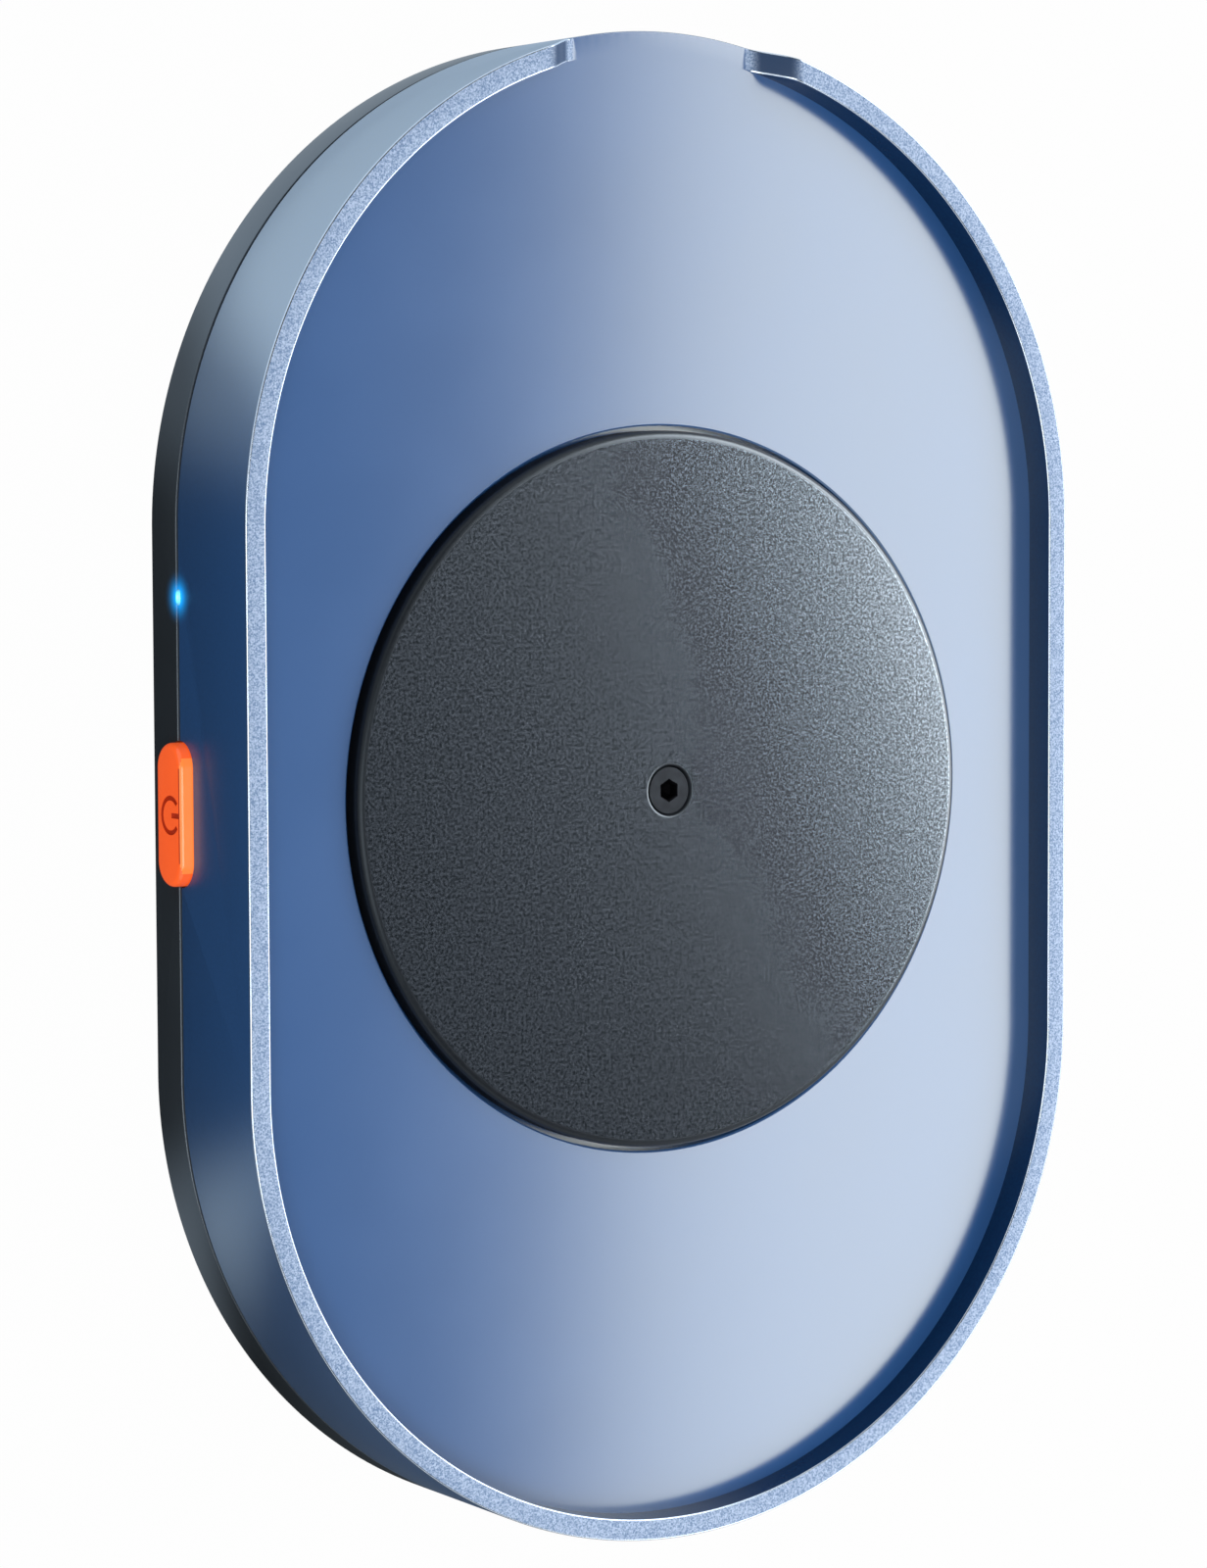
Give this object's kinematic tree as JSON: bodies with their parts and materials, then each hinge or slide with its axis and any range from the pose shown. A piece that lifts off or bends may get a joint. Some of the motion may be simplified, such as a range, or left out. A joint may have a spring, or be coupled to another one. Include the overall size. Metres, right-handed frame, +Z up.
{
  "type": "mouse jiggler",
  "caption": "Low stadium-shaped tray with a slowly turning disc that moves a computer mouse resting on it, with a side power button and light.",
  "frame": {"origin": "on the axis of the turntable disc, level with the underside of the feet", "axes": "+Z up along the disc's axis, +Y along the tray towards the gap in the rim, -X towards the power button"},
  "size_m": [0.0892, 0.1354, 0.0185],
  "materials": {
    "tray_metal": "blue anodised, bead blasted, bright cut edges",
    "base_plastic": "black, finely textured",
    "foot_rubber": "matt",
    "disc_plastic": "dark grey, spark-eroded texture",
    "black_steel": "black oxide",
    "bright_steel": "ground",
    "plate_steel": "zinc plated sheet",
    "bush_brass": "turned",
    "gear_plastic": "natural acetal",
    "washer_plastic": "slippery white",
    "board_laminate": "green solder mask",
    "chip_plastic": "moulded",
    "plug_plastic": "moulded, ivory",
    "lead_cover": "insulated wire",
    "button_plastic": "orange, glossy",
    "light_plastic": "clear blue, lit from behind",
    "led_plastic": "moulded white"
  },
  "bodies": {
    "housing": {"tray_shell": "tray_metal", "base_shell": "base_plastic", "rubber_feet": "foot_rubber", "spindle_bush": "bush_brass", "disc_washer": "washer_plastic", "idler_pin": "bright_steel", "gear_plate": "plate_steel", "motor_can": "plate_steel", "motor_terminals": "plug_plastic", "circuit_board": "board_laminate", "usb_socket": "bright_steel", "board_chips": "chip_plastic", "motor_plug": "plug_plastic", "tact_switch": "chip_plastic", "light_pipe": "light_plastic", "status_led": "led_plastic", "motor_leads": "lead_cover", "case_screws": "black_steel", "plate_screws": "bright_steel", "motor_screws": "bright_steel"},
    "turntable": {"turntable_disc": "disc_plastic", "disc_screw": "black_steel", "output_spindle": "bright_steel", "output_gear": "gear_plastic"},
    "idler": {"idler_gear": "gear_plastic"},
    "motor_rotor": {"motor_shaft": "bright_steel", "motor_pinion": "bush_brass"},
    "power_button": {"power_button": "button_plastic", "switch_plunger": "led_plastic"}
  },
  "joints": [
    {"name": "disc_spin", "type": "hinge", "parent": "housing", "child": "turntable", "pos_m": [0, 0, 0.01665], "axis": [0, 0, 1], "continuous": true},
    {"name": "idler_spin", "type": "hinge", "parent": "housing", "child": "idler", "pos_m": [0.00466, -0.01739, 0.0118], "axis": [0, 0, 1], "continuous": true},
    {"name": "motor_spin", "type": "hinge", "parent": "housing", "child": "motor_rotor", "pos_m": [0.01765, -0.02489, 0.0118], "axis": [0, 0, 1], "continuous": true},
    {"name": "button_press", "type": "slide", "parent": "housing", "child": "power_button", "axis": [1, 0, 0], "range_m": [0, 0.0004], "stiffness_N_per_m": 1500, "springref_m": -0.0003}
  ],
  "couplings": [
    {"joint": "idler_spin", "follows": "disc_spin", "ratio": -5},
    {"joint": "motor_spin", "follows": "disc_spin", "ratio": 25}
  ]
}
